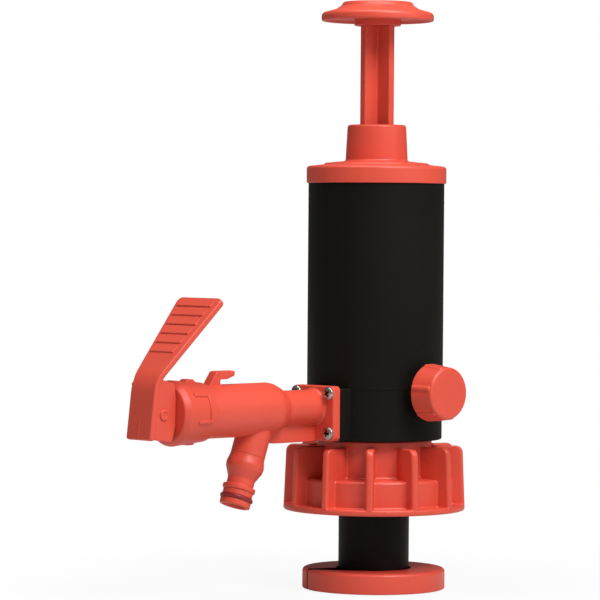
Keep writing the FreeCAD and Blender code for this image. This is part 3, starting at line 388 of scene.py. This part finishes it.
rod_reach, rod_half = 15.15, 2.8
rod_corners = []
for quarter in range(4):
    turned = Matrix.Rotation(pi / 2 * quarter, 2)
    for x, y, radius in ((rod_reach, -rod_half, 0.9), (rod_reach, rod_half, 0.9), (rod_half, rod_half, 1.6)):
        rod_corners.append((*(turned @ Vector((x, y))), radius))
rod = prism(rounded(rod_corners), 286, 413.8, 0.5, 0.3)
solid("plunger_rod_look", [(rod, UP)], "plunger", ["plunger_rod"], red)


# --- Knob and its cap -------------------------------------------------------------------------
# The mushroom knob that the palm pushes on, and the disc pressed into its crown over the screw.
# Both are red mouldings.

knob = lathe([
    (2.1, 413.8, 0), (17.1, 413.8, 0.6), (17.1, 419.6, 1.2), (36.8, 419.3, 1.0), (38.3, 417.1, 0.6),
    (41.3, 417.1, 2.4), (41.3, 423.0, 3.2), (30.5, 426.0, 8.0), (27.4, 428.2, 0.4), (26.95, 428.2, 0),
    (26.95, 424.8, 0), (5.5, 424.8, 0), (5.5, 418.3, 0), (2.1, 418.3, 0)], 180)
solid("knob_look", [(knob, UP)], "plunger", ["knob"], red)
lid = lathe([(0, 424.8, 0), (26.9, 424.8, 0), (26.9, 428.3, 0.6), (25.2, 431.2, 1.6), (0, 431.2, 0)], 180)
solid("knob_cap_look", [(lid, UP)], "plunger", ["knob_cap"], red)


# --- Relief cap -------------------------------------------------------------------------------
# The red ribbed cap on the side that is unscrewed a turn to let the drum's pressure go. It is
# threaded on a nipple in the body.

vent_low, vent_high, vent_floor = 57.2, 75.8, 67.9
rib_low, rib_high = vent_low + 0.8, vent_high - 1.6
rib_out, rib_lean, rib_turn = 19.1, 0.115, 18.3
vent = [(lathe([
    (9.3, vent_low, 0.5), (21, vent_low, 0.8), (18.7, vent_high, 2.0), (0, vent_high, 0),
    (0, vent_floor, 0), (9.3, vent_floor, 0)]), RELIEF)]
lean = Matrix.Identity(4)
lean[0][2] = -rib_lean
for k in range(6):
    rib = lathe([(0, rib_low, 0), (3.0, rib_low, 1.0), (2.6, rib_high, 2.4), (0, rib_high, 0)], 40, 8)
    rib.transform(Matrix.Rotation(radians(rib_turn + 60 * k), 4, "Z")
                  @ Matrix.Translation((rib_out + rib_lean * vent_low, 0, 0)) @ lean)
    vent.append((rib, RELIEF))
solid("relief_cap_look", vent, "relief_cap", ["relief_cap"], red)


# --- Tap body ---------------------------------------------------------------------------------
# One red moulding: the square flange, the pipe with a web under it, the valve chamber, the stub
# of the spout, and the hook that a bail or a hose hangs on.

SIDE = Matrix(((0, 0, -1, 0), (-1, 0, 0, 0), (0, 1, 0, 0), (0, 0, 0, 1)))
SIDE_TAP = Matrix.Translation((0, 0, tap_height)) @ SIDE
SPOUT = Matrix.Translation((0, -115.6, tap_height)) @ Matrix.Rotation(radians(160.3), 4, "X")

flange = rounded([(-21.1, -24.3, 3.5), (21.1, -24.3, 3.5), (21.1, 15.5, 3.5), (-21.1, 15.5, 3.5)], 8)
chamber = lathe([
    (8, 56.2, 0), (12.7, 56.2, 0), (12.7, 97, 4.0), (15.7, 100.7, 4.0), (18.5, 107.0, 5.0),
    (19, 110, 2.0), (19, 173.6, 0.4), (17.25, 173.6, 0), (17.25, 186.7, 0.3), (14.5, 186.7, 0.3),
    (14.5, 112, 0), (11.5, 112, 0), (11.5, 108, 0), (8, 108, 0)], 128)
fillet_out, fillet_top, fillet_round = 14.95, 65.4, 2.3
root = []
for k in range(9):
    turn = pi / 2 * k / 8
    root.append((fillet_out - fillet_round * sin(turn), fillet_top - fillet_round * cos(turn), 0))
root_fillet = lathe([(12.3, 62.8, 0), (fillet_out, 62.8, 0), *root, (12.3, fillet_top, 0)], 96)
web = rounded([(60, -24.9, 0), (105, -24.9, 3), (112.5, -18, 3), (110, -8, 0), (60, -8, 0)])
web = prism(web, -2.5, 2.5, 0.6, 0.6)
hook = prism(rounded([
    (168.0, 17.5, 0), (157.2, 17.5, 1.0), (157.2, 22.6, 1.2), (150.5, 22.6, 2.0), (143.6, 25.0, 0.6),
    (143.6, 28.5, 0.8), (160.6, 28.5, 2.6), (167.4, 19, 1.0)]), -4, 4, 0.7, 0.7)
stub = lathe([(7, 14, 0), (12.4, 14, 0), (12.4, 34.9, 0.3), (10.2, 35, 0), (10.2, 43, 0.4), (7, 43, 0.4)], 96)
solid("tap_body_look",
      [(prism(flange, 56.15, 63.2, 0.6, 1.0), TAP), (chamber, TAP), (root_fillet, TAP), (web, SIDE_TAP),
       (hook, SIDE_TAP), (stub, SPOUT)],
      "base", ["tap_body"], red)


# --- Flange screws ----------------------------------------------------------------------------
# Four bright steel pan-head screws with cross recesses. They go through the flange into the
# body's boss and clamp the tap on its gasket.

def carve(shell, cutter):
    """The shell less the cutter. Both are closed."""
    pair = []
    for source in (shell, cutter):
        mesh = bpy.data.meshes.new("carving")
        source.to_mesh(mesh)
        source.free()
        item = bpy.data.objects.new("carving", mesh)
        bpy.context.scene.collection.objects.link(item)
        pair.append(item)
    cut = pair[0].modifiers.new("cut", "BOOLEAN")
    cut.operation = "DIFFERENCE"
    cut.solver = "EXACT"
    cut.object = pair[1]
    seen = pair[0].evaluated_get(bpy.context.evaluated_depsgraph_get())
    result = bmesh.new()
    result.from_mesh(seen.to_mesh())
    for item in pair:
        bpy.data.objects.remove(item)
    return result


def metal(name, colour, rough, brushed):
    """Bright metal, finely brushed, with a little grime that dulls it."""
    material = bpy.data.materials.new(name)
    material.use_nodes = True
    tree = material.node_tree
    shader = tree.nodes["Principled BSDF"]
    place = Wire(tree, tree.nodes.new("ShaderNodeTexCoord").outputs["Object"])
    grime = noise(place, 120.0, 5.0, 0.6).between(0.35, 0.8)
    tree.links.new(grime.tint((*colour, 1), tuple(c * 0.72 for c in colour) + (1,)).socket,
                   shader.inputs["Base Color"])
    lines = noise(place * (1.0, 1.0, 14.0), 420.0, 3.0)
    tree.links.new((rough + grime * 0.15 + lines * 0.08).socket, shader.inputs["Roughness"])
    bump = lines.node("ShaderNodeBump", {}, {"Height": lines, "Strength": brushed, "Distance": 0.0002})
    tree.links.new(bump.socket, shader.inputs["Normal"])
    shader.inputs["Metallic"].default_value = 1.0
    return material


steel = metal("bright_steel", (0.50, 0.46, 0.42), 0.22, 0.2)
screw_across, screw_up, flange_middle = 16.6, 14.45, -4
recess_long, recess_half = 2.9, 0.85
first_turn, each_turn = 11, 37
screws = []
for across in (-screw_across, screw_across):
    for up in (flange_middle - screw_up, flange_middle + screw_up):
        head = lathe([
            (0, 43.3, 0), (1.2, 43.3, 0), (2, 44.4, 0), (2, 63.1, 0), (4.75, 63.1, 0.2), (4.7, 64.7, 1.0),
            (3.2, 65.9, 1.8), (0, 66.25, 0)], 48, 5)
        for wide, deep in ((recess_long, recess_half), (recess_half, recess_long)):
            blade = []
            for w, d, height in ((wide, deep, 66.4), (wide * 0.6, deep * 0.7, 63.2)):
                blade.append([(-w, -d, height), (w, -d, height), (w, d, height), (-w, d, height)])
            head = carve(head, skin(blade))
        turn = radians(first_turn + each_turn * len(screws))
        screws.append((head, TAP @ Matrix.Translation((across, up, 0)) @ Matrix.Rotation(turn, 4, "Z")))
solid("tap_screws_look", screws, "base", ["tap_screws"], steel)


# --- Spout nozzle -----------------------------------------------------------------------------
# The red nozzle pushed on the stub. Its belly, neck and bead take a hose, and a dark red rubber
# ring near its mouth seals it.

nozzle = lathe([
    (10.2, 35.05, 0.2), (12.4, 35.05, 0.2), (12.6, 37.0, 4.0), (13.7, 41.6, 6.0), (13.2, 45.2, 5.0),
    (9.8, 52.2, 4.0), (9.8, 56.8, 0.4), (11.8, 57.7, 0.5), (11.8, 60.3, 0.5), (10.7, 61.0, 0.3),
    (10.7, 64.4, 0),
    (9.5, 64.4, 0), (9.5, 68.0, 0), (11.0, 68.0, 0.3), (11.0, 72.2, 1.5), (8.6, 72.2, 0.6), (7.5, 69.5, 0),
    (7.5, 43.2, 0), (10.2, 43.2, 0)], 96)
solid("spout_nozzle_look", [(nozzle, SPOUT)], "base", ["spout_nozzle"], red)


def rubber(name, colour, rough):
    """Soft rubber: matt, faintly mottled, with a bloom that pales it."""
    material = bpy.data.materials.new(name)
    material.use_nodes = True
    tree = material.node_tree
    shader = tree.nodes["Principled BSDF"]
    place = Wire(tree, tree.nodes.new("ShaderNodeTexCoord").outputs["Object"])
    bloom = noise(place, 70.0, 5.0, 0.6).between(0.4, 0.85)
    pale = tuple(c * 1.35 + 0.004 for c in colour)
    tree.links.new(bloom.tint((*colour, 1), (*pale, 1)).socket, shader.inputs["Base Color"])
    grain = noise(place, 1400.0, 3.0)
    tree.links.new((rough + bloom * 0.12 + grain * 0.05).socket, shader.inputs["Roughness"])
    bump = grain.node("ShaderNodeBump", {}, {"Height": grain, "Strength": 0.3, "Distance": 0.0003})
    tree.links.new(bump.socket, shader.inputs["Normal"])
    shader.inputs["Specular IOR Level"].default_value = 0.35
    return material


maroon = rubber("maroon_rubber_look", (0.25, 0.019, 0.022), 0.30)
ring_out, ring_place, ring_half = 10.2, 66.2, 1.8
ring = lathe([(ring_out + ring_half * cos(tau * k / 20), ring_place + ring_half * sin(tau * k / 20), 0)
              for k in range(20)], 96)
solid("spout_seal_look", [(ring, SPOUT)], "base", ["spout_seal"], maroon)


# --- Tap collar -------------------------------------------------------------------------------
# The red bayonet cap on the end of the valve chamber. Raised lugs top and bottom lock it, and a
# moulded mark on its side shows which way it turns.

collar = lathe([
    (17.3, 173.75, 0.3), (20.9, 173.75, 1.2), (23.2, 201.5, 2.2), (20.8, 205.6, 1.6), (5.1, 205.6, 0.6),
    (5.1, 199, 0), (17.3, 199, 0.6)], 128)
collar_shells = [(collar, TAP)]
for flip, rise in ((1, 2.5), (-1, 1.6)):
    lug = rounded([(179.0, 18.6, 0), (192, 18.6, 0), (191.8, 20.8, 0.4), (188, 21.1 + rise, 2.5),
                   (182.8, 21.0 + rise, 1.2), (179.6, 20.4, 0.4)])
    side = [Vector((point.x, point.y * flip)) for point in lug]
    collar_shells.append((prism(side[::flip], -4, 4, 1.0, 1.0), SIDE_TAP))


def ring_bar(corners, start, stop):
    """An outline of (radius, height, rounding) corners turned through part of a circle."""
    outline = rounded(corners, 5)
    soft, seated, steps = 0.03, 20.5, 12
    turns = [(0, 0.9), (soft * 0.3, 0.35), (soft, 0)]
    turns += [(soft + (stop - start - 2 * soft) * k / steps, 0) for k in range(1, steps)]
    turns += [(stop - start - turn, sink) for turn, sink in turns[2::-1]]
    rings = []
    for turn, sink in turns:
        across = Vector((cos(start + turn), sin(start + turn)))
        inset = [(radius - sink * (radius > seated), height) for radius, height in outline]
        rings.append([(*(across * radius), height) for radius, height in inset])
    return skin(rings)


bar_foot, bar_flare = 19.5, 0.09
bars = ((-12, 35, 180.8, 182.4), (32.5, 40.5, 180.4, 195.0), (-18, -10.5, 179.6, 193.5))
for start, stop, low, high in bars:
    corners = [(bar_foot, low, 0), (bar_foot, high, 0), (22.6 + bar_flare * (high - 182), high, 0.8),
               (22.5, low, 0.8)]
    collar_shells.append((ring_bar(corners, radians(start), radians(stop)), TAP))
solid("tap_collar_look", collar_shells, "base", ["tap_collar"], red)


# --- Lever ------------------------------------------------------------------------------------
# The red thumb lever, moulded as a channel that straddles the stem and bends back into a flared
# pad. Six low ridges across the pad's face give grip.

cheek = rounded([
    (224.6, 150, 0), (222.5, 156, 0), (217, 159.6, 0), (207.0, 157.4, 3.5), (205.8, 148, 4),
    (205.8, 127.5, 6),
    (209.6, 116.0, 2.5), (228.6, 119.0, 0)])
pivot = (217, tap_height)


def strip(path, thick, edge):
    """A plate along a path of (out, up, half width), its outer face on the path."""
    rings = []
    for k, (out, up, half) in enumerate(path):
        here = Vector((out, up))
        ahead = (Vector(path[min(k + 1, len(path) - 1)][:2]) - Vector(path[max(k - 1, 0)][:2])).normalized()
        inward = Vector((-ahead.y, ahead.x))
        soft = 0.0
        if k in (0, len(path) - 1):
            soft = edge
        ring = []
        for x, depth in rounded([(-half + soft, soft, edge), (half - soft, soft, edge),
                                 (half - soft, thick - soft, edge), (-half + soft, thick - soft, edge)], 4):
            spot = here + inward * depth
            ring.append((x, -spot.x, spot.y))
        rings.append(ring)
    return skin(rings)


heel_half, pad_half, tip_soft = 12.8, 23.3, 4.5
bend, foot_out, tip_out = Vector((225.5, 159.7)), Vector((230.6, 118.2)), Vector((173.3, 215.8))
pad_way = (tip_out - bend).normalized()
wall_way = (foot_out - bend).normalized()
half_bend = wall_way.angle(pad_way) / 2
reach = 9.0
bend_centre = bend + (wall_way + pad_way).normalized() * reach / cos(half_bend)
arm = [foot_out, foot_out - wall_way * 0.9, bend + wall_way * (reach + 0.2)]
start = bend + wall_way * reach - bend_centre
for k in range(9):
    arm.append(bend_centre + Matrix.Rotation((pi - 2 * half_bend) * k / 8, 2) @ start)
pad_long = (tip_out - bend).length
for along in (reach + 0.2, 30, 50, pad_long - tip_soft):
    arm.append(bend + pad_way * along)


def half_width(along):
    """Half the lever's width, this far up the pad from its bend."""
    return heel_half + (pad_half - heel_half) * along / pad_long


path = []
for spot in arm:
    along = max(0.0, (spot - bend).dot(pad_way))
    path.append((*spot, half_width(along)))
for k in range(1, 7):
    turn = pi / 2 * k / 6
    along = pad_long - tip_soft + tip_soft * sin(turn)
    path.append((*(bend + pad_way * along), half_width(along) - tip_soft * (1 - cos(turn))))
spine = strip(path, 4.4, 1.1)

pad_up = Vector((0, -pad_way.x, pad_way.y))
pad_out = Vector((0, -pad_way.y, -pad_way.x))
PAD = Matrix.Translation((0, -bend.x, bend.y)) @ Matrix((
    (1, 0, 0, 0), (0, pad_up.y, pad_out.y, 0), (0, pad_up.z, pad_out.z, 0), (0, 0, 0, 1)))

grip_top, grip_pitch, grip_count = 68.2, 8.55, 6
left_rim, right_rim, sunk = 3.5, 5.5, -0.5
ridge_side = ((grip_pitch - 0.9, 0.0), (0.6, 0.85), (0.25, 0.8), (0.0, 0.6), (-0.25, 0.0))
ridges = []
for k in range(grip_count):
    rings = []
    for rise, height in ridge_side:
        along = grip_top - grip_pitch * k + rise
        left, right = left_rim - half_width(along), half_width(along) - right_rim
        edge = 0.4 * height
        rings.append([(left, along, sunk), (left, along, height - edge), (left + edge, along, height),
                      (right - edge, along, height), (right, along, height - edge), (right, along, sunk)])
    ridges.append((skin(rings), PAD))
cheek_in, cheek_out = 8.6, 11.7
cheeks = [(prism(cheek, -cheek_out, -cheek_in, 0.8, 0.1), SIDE),
          (prism(cheek, cheek_in, cheek_out, 0.1, 0.8), SIDE)]
boss_end = lathe([
    (0, 11.4, 0), (3.9, 11.4, 0), (3.7, 12.9, 0.5), (2.2, 12.9, 0.4), (1.9, 12.3, 0), (0, 12.3, 0)], 48)
pip = lathe([(0, 10, 0), (1.9, 10, 0), (1.7, 13.6, 1.5), (0, 13.6, 0)], 32)
line_half, line_long, wall_lean = 0.35, 13, 0.123
mould_rib = rounded([(-line_half, 0, 0.3), (line_half, 0, 0.3), (line_half, line_long, 0.3),
                     (-line_half, line_long, 0.3)])
mould_rib = prism(mould_rib, -1, 0.35, 0, 0.2)
WALL = Matrix.Translation((0, -foot_out.x, foot_out.y + 1.2)) @ Matrix.Rotation(pi / 2 - wall_lean, 4, "X")
ACROSS = Matrix.Translation((0, -pivot[0], pivot[1])) @ Matrix.Rotation(pi / 2, 4, "Y")
BUMP = Matrix.Translation((0, -223.5, 156.0)) @ Matrix.Rotation(-pi / 2, 4, "Y")
solid("lever_look",
      [(spine, UP), *ridges, *cheeks, (boss_end, ACROSS), (pip, BUMP), (mould_rib, WALL)],
      "lever", ["lever"], red)


# --- Inner pieces -----------------------------------------------------------------------------
# Seals, piston, valves, springs and the lever's pin. Most show only when the pump is opened. They
# keep the frame's own shapes, and each takes the finish of its slot.

rubber_black = rubber("black_rubber_look", (0.016, 0.0155, 0.015), 0.5)
pale = moulded("pale_moulding", (0.72, 0.70, 0.64), (0.64, 0.62, 0.55), 0.34, 0.12)
finishes = {
    "black_plastic": black, "red_plastic": red, "steel": steel, "black_rubber": rubber_black,
    "pale_plastic": pale, "maroon_rubber": maroon}
for part in frame["record"]["subparts"]:
    node = frame["nodes"][part["node"]]
    node.data.materials.clear()
    node.data.materials.append(finishes[part["material_slot"]])


# --- Floor, light and camera ------------------------------------------------------------------
# A flat pale table under soft studio lamps: a strong one high on the relief cap's side, one
# overhead and a weak lower one beyond the relief cap. The camera sees the table and the backdrop
# white, and their light on the pump is much weaker.

ground = bmesh.new()
bmesh.ops.create_circle(ground, cap_ends=True, segments=96, radius=2.5)
table = bpy.data.meshes.new("table")
ground.to_mesh(table)
ground.free()
floor = bpy.data.objects.new("table", table)
floor.location.z = -0.0005
bpy.context.scene.collection.objects.link(floor)
card = bpy.data.materials.new("table_card")
card.use_nodes = True
tree = card.node_tree
shader = tree.nodes["Principled BSDF"]
place = Wire(tree, tree.nodes.new("ShaderNodeTexCoord").outputs["Object"])
fleck = noise(place, 60.0, 4.0).between(0.2, 0.8)
tree.links.new(fleck.tint((0.60, 0.60, 0.60, 1), (0.64, 0.64, 0.64, 1)).socket, shader.inputs["Base Color"])
shader.inputs["Roughness"].default_value = 0.9
shader.inputs["Specular IOR Level"].default_value = 0.1
near_glow = 0.91
glow = place.node("ShaderNodeEmission", {}, {"Color": (1, 1, 1, 1), "Strength": 1.0})
radius = place.node("ShaderNodeVectorMath", {"operation": "LENGTH"}, {0: place}, "Value")
seen = place.node("ShaderNodeLightPath", {}, {}, "Is Camera Ray")
mixed = place.node("ShaderNodeMixShader", {}, {
    0: seen * (radius.between(0.08, 0.4) * (1 - near_glow) + near_glow),
    1: Wire(tree, shader.outputs[0]), 2: glow})
tree.links.new(mixed.socket, tree.nodes["Material Output"].inputs["Surface"])
table.materials.append(card)

world = bpy.data.worlds.new("studio")
bpy.context.scene.world = world
world.use_nodes = True
tree = world.node_tree
sky = tree.nodes["Background"]
direct = Wire(tree, tree.nodes.new("ShaderNodeLightPath").outputs["Is Camera Ray"])
white = direct.node("ShaderNodeBackground", {}, {"Color": (1, 1, 1, 1), "Strength": 1.0})
sky.inputs["Color"].default_value = (1, 1, 1, 1)
sky.inputs["Strength"].default_value = 0.15
backdrop = direct.node("ShaderNodeMixShader", {}, {0: direct, 1: Wire(tree, sky.outputs[0]), 2: white})
tree.links.new(backdrop.socket, tree.nodes["World Output"].inputs["Surface"])


def lamp(name, place, aim, width, height, power):
    """A soft rectangular lamp that faces a point."""
    light = bpy.data.lights.new(name, "AREA")
    light.shape = "RECTANGLE"
    light.size = width
    light.size_y = height
    light.energy = power
    item = bpy.data.objects.new(name, light)
    item.location = place
    item.rotation_euler = (Vector(aim) - Vector(place)).to_track_quat("-Z", "Y").to_euler()
    bpy.context.scene.collection.objects.link(item)


lamp("key", (1.50, -0.22, 1.75), (0, 0, 0.2), 0.9, 0.9, 42)
lamp("top", (0.1, -0.4, 2.2), (0, 0, 0.2), 1.2, 1.2, 27)
lamp("side", (1.75, 0.75, 0.9), (0, 0, 0.2), 0.9, 0.9, 4)

stand, eye_height = 1.7147, 0.270
swing, dip, roll = 1.315, 1.376, 0.42
camera = bpy.data.objects.new("camera", bpy.data.cameras.new("camera"))
camera.data.lens = 197.45
camera.data.sensor_width = 36
camera.data.clip_start = 0.05
camera.matrix_world = (
    Matrix.Translation((stand, -stand, eye_height)) @ Matrix.Rotation(radians(45 + swing), 4, "Z")
    @ Matrix.Rotation(radians(90 - dip), 4, "X") @ Matrix.Rotation(radians(roll), 4, "Z"))
bpy.context.scene.collection.objects.link(camera)
bpy.context.scene.camera = camera
bpy.context.scene.view_settings.view_transform = "Standard"
